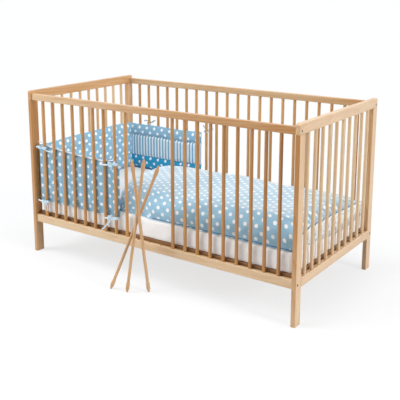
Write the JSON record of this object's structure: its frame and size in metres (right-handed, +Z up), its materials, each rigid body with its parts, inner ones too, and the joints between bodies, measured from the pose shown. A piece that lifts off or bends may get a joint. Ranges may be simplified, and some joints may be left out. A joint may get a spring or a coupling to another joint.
{
  "type": "baby crib",
  "caption": "Slatted wooden baby crib with a height-adjustable slatted base, mattress, quilt and padded bumper; its sprung slip-out bars stand in front of their gap.",
  "frame": {"origin": "on the floor, at the middle of the rectangle that the crib and its three free-standing bars cover; the crib's own middle is 69 mm behind it (+Y)", "axes": "+X along the crib towards its foot end, the head end with the bumper at -X; +Z up; -Y is the front, the side with the slip-out bars"},
  "size_m": [1.45, 0.8884, 0.804],
  "materials": {
    "beech": "clear-lacquered solid beech, satin",
    "base_wood": "plain planed beech, unlacquered",
    "bar_tip": "turned beech tip, satin",
    "zinc_steel": "zinc-plated steel",
    "white_cotton": "white cotton jersey fitted sheet over foam",
    "dotted_cotton": "pale-blue cotton with white polka dots",
    "bumper_cotton": "mid-blue cotton with white polka dots and a striped band"
  },
  "bodies": {
    "frame": {"post_front_left": "beech", "post_back_left": "beech", "end_top_rail_left": "beech", "end_slat_panel_left": "beech", "post_front_right": "beech", "post_back_right": "beech", "end_top_rail_right": "beech", "end_slat_panel_right": "beech", "back_top_rail": "beech", "back_slat_panel": "beech", "front_top_rail": "beech", "front_bottom_rail": "beech", "front_slat_01": "beech", "front_slat_02": "beech", "front_slat_03": "beech", "front_slat_04": "beech", "front_slat_05": "beech", "front_slat_06": "beech", "front_slat_07": "beech", "front_slat_08": "beech", "front_slat_09": "beech", "front_slat_10": "beech", "front_slat_11": "beech", "front_slat_12": "beech", "front_slat_13": "beech", "front_slat_14": "beech", "front_slat_15": "beech", "front_slat_16": "beech", "front_slat_17": "beech", "front_slat_18": "beech", "bolt_upper_front_left": "zinc_steel", "bolt_lower_front_left": "zinc_steel", "bolt_upper_back_left": "zinc_steel", "bolt_lower_back_left": "zinc_steel", "bolt_upper_front_right": "zinc_steel", "bolt_lower_front_right": "zinc_steel", "bolt_upper_back_right": "zinc_steel", "bolt_lower_back_right": "zinc_steel", "height_pin_front_left": "zinc_steel", "height_pin_back_left": "zinc_steel", "height_pin_front_right": "zinc_steel", "height_pin_back_right": "zinc_steel"},
    "bed": {"base_side_front": "base_wood", "base_side_back": "base_wood", "base_end_left": "base_wood", "base_end_right": "base_wood", "base_slats": "base_wood", "mattress": "white_cotton", "bumper": "bumper_cotton", "quilt": "dotted_cotton"},
    "bar_a": {"slip_bar_a": "beech"},
    "tip_a": {"slip_bar_tip_a": "bar_tip"},
    "bar_b": {"slip_bar_b": "beech"},
    "tip_b": {"slip_bar_tip_b": "bar_tip"},
    "bar_c": {"slip_bar_c": "beech"},
    "tip_c": {"slip_bar_tip_c": "bar_tip"}
  },
  "joints": [
    {"name": "base_height", "type": "slide", "parent": "frame", "child": "bed", "axis": [0, 0, 1], "range_m": [0, 0.2]},
    {"name": "bar_a_lift", "type": "slide", "parent": "frame", "child": "bar_a", "axis": [0.3166, 0.1792, 0.9315], "range_m": [0, 0.1]},
    {"name": "tip_a_press", "type": "slide", "parent": "bar_a", "child": "tip_a", "axis": [0.3166, 0.1792, 0.9315], "range_m": [-0.014, 0], "stiffness_N_per_m": 250, "springref_m": 0.006},
    {"name": "bar_b_lift", "type": "slide", "parent": "frame", "child": "bar_b", "axis": [0.1213, 0.0673, 0.9903], "range_m": [0, 0.1]},
    {"name": "tip_b_press", "type": "slide", "parent": "bar_b", "child": "tip_b", "axis": [0.1213, 0.0673, 0.9903], "range_m": [-0.014, 0], "stiffness_N_per_m": 250, "springref_m": 0.006},
    {"name": "bar_c_lift", "type": "slide", "parent": "frame", "child": "bar_c", "axis": [-0.0482, -0.106, 0.9932], "range_m": [0, 0.1]},
    {"name": "tip_c_press", "type": "slide", "parent": "bar_c", "child": "tip_c", "axis": [-0.0482, -0.106, 0.9932], "range_m": [-0.014, 0], "stiffness_N_per_m": 250, "springref_m": 0.006}
  ]
}
